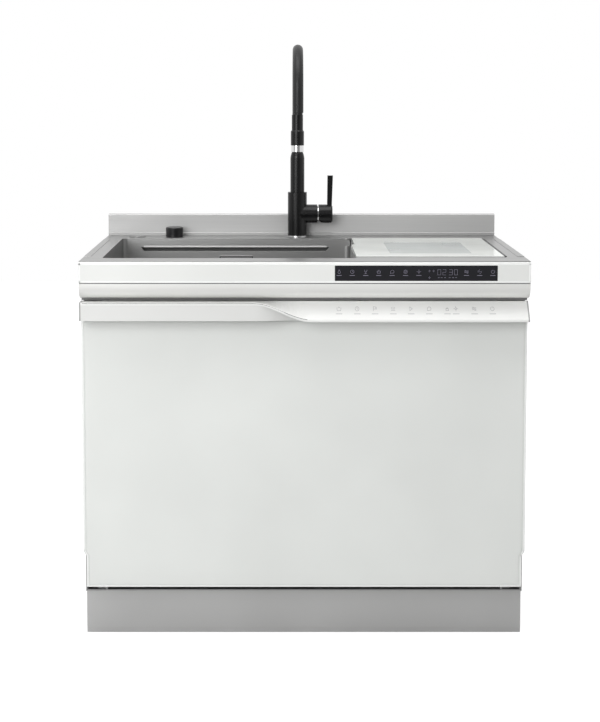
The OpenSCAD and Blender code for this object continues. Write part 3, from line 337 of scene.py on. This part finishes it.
ICONS = {
    "basin": [[(-1, 0.4), (-0.8, -0.8), (0.8, -0.8), (1, 0.4)], arc(0, 0.2, 0.5, 20, 160)],
    "power": [arc(0, 0, 0.85, 120, 420), [(0, 0.3), (0, 1)]],
    "drop": [[(0, 1), (-0.55, 0.05), *arc(0, -0.3, 0.6, 150, 390), (0.55, 0.05), (0, 1)]],
    "plate": [ring(0, 0, 0.9), ring(0, 0, 0.45)],
    "leaf": [[(-0.8, -0.8), *arc(0.1, -0.1, 0.9, 160, 20), (0.8, -0.6), (-0.8, -0.8)]],
    "glass": [[(-0.6, 0.9), (-0.45, 0), (0.45, 0), (0.6, 0.9)], [(0, 0), (0, -0.9)],
              [(-0.45, -0.9), (0.45, -0.9)]],
    "clock": [ring(0, 0, 0.9), [(0, 0.55), (0, 0), (0.4, -0.2)]],
    "pot": [[(-0.8, 0.3), (-0.7, -0.7), (0.7, -0.7), (0.8, 0.3), (-0.8, 0.3)],
            [(-0.3, 0.75), (0.3, 0.75)]],
    "spray": [[(-0.9, -0.7), (0.9, -0.7)], [(-0.5, -0.3), (-0.8, 0.6)], [(0, -0.3), (0, 0.8)],
              [(0.5, -0.3), (0.8, 0.6)]],
    "sun": [ring(0, 0, 0.4), [(0, 0.65), (0, 1)], [(0, -0.65), (0, -1)], [(0.65, 0), (1, 0)],
            [(-0.65, 0), (-1, 0)]],
    "flag": [[(-0.7, -0.9), (-0.7, 0.9), (0.8, 0.7), (0.3, 0.3), (0.8, -0.1), (-0.7, -0.1)]],
    "play": [[(-0.5, 0.8), (0.7, 0), (-0.5, -0.8), (-0.5, 0.8)]],
    "fan": [arc(0, 0, 0.9, 90, 200), arc(0, 0, 0.9, 270, 380), [(-0.5, 0), (0.5, 0)]],
    "lock": [[(-0.6, 0), (0.6, 0), (0.6, -0.8), (-0.6, -0.8), (-0.6, 0)], arc(0, 0, 0.4, 0, 180)],
    "waves": [[(-0.9, y), (-0.45, y + 0.25), (0, y), (0.45, y - 0.25), (0.9, y)]
              for y in (-0.5, 0, 0.5)],
}

# Seven segments of a digit, 1 wide and 2 high
SEGMENTS = {
    "a": [(0, 2), (1, 2)],
    "b": [(1, 2), (1, 1)],
    "c": [(1, 1), (1, 0)],
    "d": [(0, 0), (1, 0)],
    "e": [(0, 1), (0, 0)],
    "f": [(0, 2), (0, 1)],
    "g": [(0, 1), (1, 1)],
}
DIGITS = {"0": "abcdef", "2": "abged", "3": "abgcd"}


class Marks:
    """Flat strokes gathered in one mesh, in a face's X and Z, facing the front."""

    def __init__(self):
        self.points, self.faces = [], []

    def quad(self, corners):
        first = len(self.points)
        self.points += corners
        self.faces.append(tuple(range(first, first + 4)))

    def stroke(self, line, width):
        for (ax, az), (bx, bz) in zip(line, line[1:]):
            run = math.hypot(bx - ax, bz - az)
            ux, uz = (bx - ax) / run * width / 2, (bz - az) / run * width / 2
            ax, az, bx, bz = ax - ux, az - uz, bx + ux, bz + uz
            self.quad([(ax + uz, az - ux), (bx + uz, bz - ux), (bx - uz, bz + ux),
                       (ax - uz, az + ux)])

    def dash(self, x, z, length, width):
        self.stroke([(x - length / 2, z), (x + length / 2, z)], width)

    def icon(self, name, x, z, size, width):
        for line in ICONS[name]:
            self.stroke([(x + u * size / 2, z + v * size / 2) for u, v in line], width)

    def digit(self, which, x, z, wide, high, width):
        for key in DIGITS[which]:
            self.stroke([(x + u * wide, z + v * high / 2) for u, v in SEGMENTS[key]], width)

    def place(self, name, mat, body, at):
        """Adds the strokes as a piece; at turns (x, z) in mm into a place in metres."""
        return add_piece(name, mat, body, [at(x, z) for x, z in self.points], self.faces)


def on_front(node, lift=0.12, start_y=-600):
    """Where a line along +Y through (x, z) meets a node's front, lift mm before it."""
    depsgraph = bpy.context.evaluated_depsgraph_get()

    def at(x, z):
        start = Vector((x, start_y, z)) * MM
        hit, place, _, _ = NODES[node].ray_cast(start, Vector((0, 1, 0)), depsgraph=depsgraph)
        if not hit:
            raise ValueError(f"no face of {node} at {x}, {z}")
        return place - Vector((0, lift, 0)) * MM

    return at


# Symbols from left to right, with their places along X, mm
GLASS_ICONS = zip(
    (68.6, 94.5, 121.4, 147.3, 173.8, 200.6, 227.1, 321.8, 348.1, 374.2),
    ("drop", "clock", "glass", "pot", "leaf", "plate", "sun", "waves", "fan", "power"),
)
BAR_ICONS = zip(
    (69.1, 105.4, 141.1, 177.5, 213.2, 249.5, 285.8, 303.2, 340.1, 376.5),
    ("basin", "clock", "flag", "spray", "play", "leaf", "lock", "sun", "waves", "power"),
)
TIME = zip((264.5, 274.6, 287.5, 297.6), "0230")
TIME_LABELS = 266.7, 272.5, 279.2, 288.4, 295.2, 301.2
SMALL_ICONS = (248.2, 766.2), (256.5, 766.2), (248.4, 752.8)
# Heights of the symbols and the labels, and of the time's foot and its labels, mm
GLASS_ROW, GLASS_LABEL_ROW, TIME_ROW, TIME_LABEL_ROW = 764.6, 757.2, 758.3, 752.8
BAR_ROW, BAR_LABEL_ROW = 687.7, 678.6


def add_marks(glass_mat, bar_mat):
    glass = Marks()
    for x, name in GLASS_ICONS:
        glass.icon(name, x, GLASS_ROW, size=8, width=0.7)
        glass.dash(x, GLASS_LABEL_ROW, length=9, width=1.1)
    for x, which in TIME:
        glass.digit(which, x, TIME_ROW, wide=6.2, high=10.6, width=0.5)
    for x in TIME_LABELS:
        glass.dash(x, TIME_LABEL_ROW, length=2.8, width=0.8)
    for x, z in SMALL_ICONS:
        glass.icon("sun", x, z, size=4.4, width=0.6)
    glass.place("display_marks", glass_mat, "cabinet", on_front("display_glass"))
    bar = Marks()
    for x, name in BAR_ICONS:
        bar.icon(name, x, BAR_ROW, size=8.5, width=0.7)
        bar.dash(x, BAR_LABEL_ROW, length=12, width=1)
    bar.place("bar_marks", bar_mat, "door", on_front("handle_blade"))


# Fine lines on the faces, in mm

# In from the sides, the bottom and the top of the face, and the line's width; the lines round
# the apron and the door are painted highlights on their bevelled edges
APRON_RIM = 2, 4.6, 4, 3
# Painted shade: the dark line round the overflow cover's face
COVER_SHADE = 3, 3, 3, 2.5
DOOR_RIM = 2, 1.3, 2, 2.2
# The corners of the door step in at the bottom: how far, and where along Z
CORNER_STEP, CORNER_RISE, CORNER_SLANT = 6, 66, 10
# The painted shade along the apron's foot, over the gap to the bullnose: in from the ends, over the
# bottom edge, and the line's width
APRON_SHADE = 1.5, 0.9, 1.5
# A painted highlight along the lip over the overflow slot: in from the ends and the top of the
# channel behind it, and its width
SLOT_END, SLOT_TOP, SLOT_LIP_HIGHLIGHT = 16, 4.5, 2.4
# The crease of the handle bar, as in the part's source: its left end, run and fall
CREASE_X0, CREASE_RUN, CREASE_DROP = -100, 112, 34
# Its line of painted shade: in from the bar's left end, below the bar's top edge, width, and steps
# of the curve
CREASE_END, CREASE_IN, CREASE_W, CREASE_STEPS = 3, 1.6, 1, 16
# The dull front edge of the lid's glass: in from its ends, and short of its thickness
LID_RIM_END, LID_RIM_SHORT = 4, 0.6


def rect(lo, hi, side, low, high):
    """A closed line, in from the sides, the bottom and the top of a face."""
    x0, x1, z0, z1 = lo[0] + side, hi[0] - side, lo[2] + low, hi[2] - high
    return [(x0, z0), (x1, z0), (x1, z1), (x0, z1), (x0, z0)]


def smooth(t):
    return t * t * (3 - 2 * t)


def add_apron_lines(rim_highlight_mat, shade_mat):
    lo, hi = face("apron_panel")
    *margins, width = APRON_RIM
    # Painted highlight along the apron's bevelled edges
    rim = Marks()
    rim.stroke(rect(lo, hi, *margins), width)
    rim.place("apron_rim_highlight", rim_highlight_mat, "cabinet", on_front("apron_panel"))
    # Painted shade along the apron's foot, at the gap to the bullnose
    end, up, width = APRON_SHADE
    shade_line = Marks()
    shade_line.stroke([(lo[0] + end, lo[2] + up), (hi[0] - end, lo[2] + up)], width)
    shade_line.place("apron_shade_line", shade_mat, "cabinet", on_front("apron_panel"))


def add_bowl_lines(shade_mat, lip_highlight_mat):
    # Painted shade: a dark line round the overflow cover
    *margins, width = COVER_SHADE
    shade_line = Marks()
    shade_line.stroke(rect(*face("overflow_cover"), *margins), width)
    shade_line.place("cover_shade_line", shade_mat, "cabinet", on_front("overflow_cover"))
    lo, hi = face("overflow_channel")
    # Painted highlight on the lip over the overflow slot
    z = hi[2] - SLOT_TOP
    lip_highlight = Marks()
    lip_highlight.stroke([(lo[0] + SLOT_END, z), (hi[0] - SLOT_END, z)], SLOT_LIP_HIGHLIGHT)
    lip_highlight.place("slot_lip_highlight", lip_highlight_mat, "cabinet", on_front("sink_bowl", start_y=0))


def add_door_rim_highlight(mat):
    """A painted highlight round the door's edge, which steps in at the lower corners."""
    side, low, high, width = DOOR_RIM
    lo, hi = face("door_outer_panel")
    x0, x1, z0, z1 = lo[0] + side, hi[0] - side, lo[2] + low, hi[2] - high
    step = lo[2] + CORNER_RISE
    right = [(x1, step + CORNER_SLANT), (x1 - CORNER_STEP, step), (x1 - CORNER_STEP, z0)]
    left = [(x0 + CORNER_STEP, z0), (x0 + CORNER_STEP, step), (x0, step + CORNER_SLANT)]
    rim = Marks()
    rim.stroke([(x0, z1), (x1, z1), *right, *left, (x0, z1)], width)
    rim.place("door_rim_highlight", mat, "door", on_front("door_outer_panel"))


def add_crease_line(mat):
    lo, hi = face("handle_blade")
    top, fall = hi[2] - CREASE_IN, CREASE_DROP - CREASE_IN
    steps = [i / CREASE_STEPS for i in range(CREASE_STEPS)]
    # Painted shade along the crease
    crease = Marks()
    crease.stroke([(lo[0] + CREASE_END, top), (CREASE_X0, top)], CREASE_W)
    crease.stroke([(CREASE_X0 + CREASE_RUN * t, top - fall * smooth(t)) for t in steps], CREASE_W)
    crease.place("crease_line", mat, "door", on_front("handle_blade"))


def add_lid_rim(mat):
    lo, hi = face("lid_glass")
    z = (lo[2] + hi[2]) / 2
    rim = Marks()
    rim.stroke([(lo[0] + LID_RIM_END, z), (hi[0] - LID_RIM_END, z)], hi[2] - lo[2] - LID_RIM_SHORT)
    rim.place("lid_rim", mat, "lid", on_front("lid_glass"))


# Trims, and painted shade in the gaps, in mm

# Painted shadow: a dark ring round the air button, from its edge, inside and out, and over the deck
BUTTON_SHADOW = 0.2, 1.6
BUTTON_LIFT = 0.15
# Painted shade: a black strip in the gap beside the lid, with its lip on the deck: its sides from
# the glass's right edge, in from the glass's front and rear, and how far it reaches below the
# deck's top and over it
LID_GAP, LID_FRONT, LID_REAR, LID_DOWN, LID_UP = (0.4, 5.4), 2, 24, 6, 0.15
# Painted shade: a grey strip behind the gap over the bar, in from the bar's ends, before the door's
# face, and how far it reaches over the bar's top and over the profile's underside
SHADE_END, SHADE_FRONT, SHADE_T, SHADE_FOOT, SHADE_HEAD = 1, 1, 3, 1, 8
# The folded strip that closes the bowl's corner behind the ledge: the inner faces of its right
# and rear walls, the strip's reach along both, its sheet, and the ledge and the deck's underside
FOLD_X, FOLD_Y, FOLD_RUN_X, FOLD_RUN_Y, FOLD_T = 110, 204, 12, 21.5, 1.5
FOLD_Z0, FOLD_Z1 = 768, 782
# The bright ring between the valve and its cap: inside the cap's radius, its width and gap
VALVE_RING_IN, VALVE_RING_W, VALVE_RING_GAP = 2.6, 1.8, 0.1


def band(loops):
    """The points, in metres, and faces of a strip between two closed loops in mm."""
    n = len(loops[0])
    points = [tuple(c * MM for c in point) for loop in loops for point in loop]
    return points, [(i, (i + 1) % n, n + (i + 1) % n, n + i) for i in range(n)]


def add_button_shadow(mat):
    # Painted shadow round the air button
    lo, hi = face("button_ring")
    x, y, r = (lo[0] + hi[0]) / 2, (lo[1] + hi[1]) / 2, (hi[0] - lo[0]) / 2
    z = face("worktop")[1][2] + BUTTON_LIFT
    points, faces = band([[(u, v, z) for u, v in ring(x, y, r + more)[:-1]]
                          for more in BUTTON_SHADOW])
    add_piece("button_shadow", mat, "cabinet", points, [corners[::-1] for corners in faces])


def add_lid_seal(mat):
    # Painted shade: a black strip in the gap at the lid's right edge
    lo, hi = face("lid_glass")
    deck = face("worktop")[1][2]
    add_block(
        "lid_seal", mat, "cabinet", (hi[0] + LID_GAP[0], lo[1] + LID_FRONT, deck - LID_DOWN),
        (hi[0] + LID_GAP[1], hi[1] - LID_REAR, deck + LID_UP),
    )


def add_gap_seal(mat):
    # Painted shade: a grey strip in the gap between the bullnose and the bar
    bar = face("handle_spine")[1]
    front = face("door_outer_panel")[0][1] - SHADE_FRONT
    under = face("bullnose_profile")[0][2]
    add_block(
        "gap_seal", mat, "cabinet", (SHADE_END - bar[0], front, bar[2] + SHADE_FOOT),
        (bar[0] - SHADE_END, front + SHADE_T, under + SHADE_HEAD),
    )


def add_fold(mat):
    add_block(
        "corner_fold_back", mat, "cabinet", (FOLD_X - FOLD_RUN_X, FOLD_Y, FOLD_Z0),
        (FOLD_X + FOLD_T, FOLD_Y + FOLD_T, FOLD_Z1),
    )
    add_block(
        "corner_fold_side", mat, "cabinet", (FOLD_X, FOLD_Y, FOLD_Z0),
        (FOLD_X + FOLD_T, FOLD_Y + FOLD_RUN_Y, FOLD_Z1),
    )


def add_valve_ring(mat):
    lo, hi = face("mixer_cap")
    y, z = (lo[1] + hi[1]) / 2, (lo[2] + hi[2]) / 2
    loop = ring(y, z, (hi[2] - lo[2]) / 2 - VALVE_RING_IN)[:-1]
    x1 = lo[0] - VALVE_RING_GAP
    points, faces = band([[(x, u, v) for u, v in loop] for x in (x1 - VALVE_RING_W, x1)])
    add_piece("valve_ring", mat, "cabinet", points, faces)


# Floor, world and lamps

FLOOR_HALF = 6.0
FLOOR_COLOR = 0.45
# The floor's own light as the camera sees it, so that it ends in the white world
FLOOR_GLOW = 0.8
# The world's strength as diffuse light, and as seen or mirrored
WORLD_FILL, WORLD_SEEN = 0.8, 1.0
# The world's brightness in front, and how far round to the back it takes to reach white, 0 to 1
WORLD_FRONT, WORLD_WHITE_AT = 0.25, 0.45
# Name, place, target, size and power
LAMPS = (
    ("lamp_front", (-1.4, -3.15, 1.75), (0.15, -0.3, 0.6), (2.0, 2.0), 58),
    ("lamp_top", (-0.2, -0.6, 3.2), (0.05, 0, 0.8), (2.4, 1.8), 34),
    ("lamp_side", (3.0, -1.6, 1.8), (0, 0, 0.5), (1.6, 2.2), 4),
    ("lamp_low", (-1.5, -1.7, 0.45), (-0.3, -0.3, 0.1), (0.8, 0.5), 5),
)


def grey(level):
    return level, level, level, 1


def add_floor():
    mesh = bpy.data.meshes.new("floor")
    corners = [(x * FLOOR_HALF, y * FLOOR_HALF, 0) for x, y in ((-1, -1), (1, -1), (1, 1), (-1, 1))]
    mesh.from_pydata(corners, [], [(0, 1, 2, 3)])
    floor = bpy.data.objects.new("floor", mesh)
    SCENE.collection.objects.link(floor)
    mat, nodes, links, shader = new_material("floor")
    shader.inputs["Base Color"].default_value = grey(FLOOR_COLOR)
    set_values(shader, rough=0.9, specular=0.1)
    shader.inputs["Emission Color"].default_value = grey(1)
    path = nodes.new("ShaderNodeLightPath")
    glow = nodes.new("ShaderNodeMath")
    glow.operation = "MULTIPLY"
    glow.inputs[1].default_value = FLOOR_GLOW
    links.new(path.outputs["Is Camera Ray"], glow.inputs[0])
    links.new(glow.outputs[0], shader.inputs["Emission Strength"])
    mesh.materials.append(mat)


def world_strength(nodes, links, path):
    """Full strength to the camera, through glass and in mirrors, less as diffuse light."""
    seen = path.outputs["Is Camera Ray"]
    for kind in ("Is Transmission Ray", "Is Glossy Ray"):
        either = nodes.new("ShaderNodeMath")
        either.operation = "MAXIMUM"
        links.new(seen, either.inputs[0])
        links.new(path.outputs[kind], either.inputs[1])
        seen = either.outputs[0]
    level = nodes.new("ShaderNodeMapRange")
    level.inputs["To Min"].default_value = WORLD_FILL
    level.inputs["To Max"].default_value = WORLD_SEEN
    links.new(seen, level.inputs["Value"])
    return level.outputs["Result"]


def world_color(nodes, links, path):
    """White to the camera; darker towards the front to other rays, as mirrored metal shows."""
    coord = nodes.new("ShaderNodeTexCoord")
    axes = nodes.new("ShaderNodeSeparateXYZ")
    links.new(coord.outputs["Generated"], axes.inputs["Vector"])
    turn = nodes.new("ShaderNodeMapRange")
    turn.inputs["From Min"].default_value = -1.0
    links.new(axes.outputs["Y"], turn.inputs["Value"])
    ramp = nodes.new("ShaderNodeValToRGB")
    ramp.color_ramp.elements[0].position = 0.0
    ramp.color_ramp.elements[0].color = grey(WORLD_FRONT)
    ramp.color_ramp.elements[1].position = WORLD_WHITE_AT
    ramp.color_ramp.elements[1].color = grey(1)
    links.new(turn.outputs["Result"], ramp.inputs["Fac"])
    plain = nodes.new("ShaderNodeMixRGB")
    plain.inputs["Color2"].default_value = grey(1)
    links.new(path.outputs["Is Camera Ray"], plain.inputs["Fac"])
    links.new(ramp.outputs["Color"], plain.inputs["Color1"])
    return plain.outputs["Color"]


def add_world():
    world = bpy.data.worlds.new("world")
    world.use_nodes = True
    nodes, links = world.node_tree.nodes, world.node_tree.links
    nodes.clear()
    out = nodes.new("ShaderNodeOutputWorld")
    back = nodes.new("ShaderNodeBackground")
    path = nodes.new("ShaderNodeLightPath")
    links.new(world_strength(nodes, links, path), back.inputs["Strength"])
    links.new(world_color(nodes, links, path), back.inputs["Color"])
    links.new(back.outputs[0], out.inputs[0])
    SCENE.world = world


def add_lamp(name, place, target, size, power):
    data = bpy.data.lights.new(name, "AREA")
    data.shape = "RECTANGLE"
    data.size, data.size_y = size
    data.energy = power
    lamp = bpy.data.objects.new(name, data)
    lamp.location = place
    aim = Vector(target) - Vector(place)
    lamp.rotation_euler = aim.to_track_quat("-Z", "Y").to_euler()
    lamp.visible_camera = False
    SCENE.collection.objects.link(lamp)


def add_lamps():
    for lamp in LAMPS:
        add_lamp(*lamp)


def main():
    add_camera()
    mats = make_materials()
    dress(mats)
    add_marks(mats["lit_mark"], mats["bar_mark"])
    add_apron_lines(mats["rim"], mats["gap_shade_line"])
    add_bowl_lines(mats["gap_shade_line"], mats["lip_highlight"])
    add_door_rim_highlight(mats["rim"])
    add_crease_line(mats["crease"])
    add_button_shadow(mats["rubber"])
    add_lid_seal(mats["rubber"])
    add_gap_seal(mats["seal"])
    add_lid_rim(mats["lid_rim"])
    add_fold(mats["bowl"])
    add_valve_ring(mats["chrome"])
    add_floor()
    add_world()
    add_lamps()
    SCENE.view_settings.view_transform = "Standard"


main()
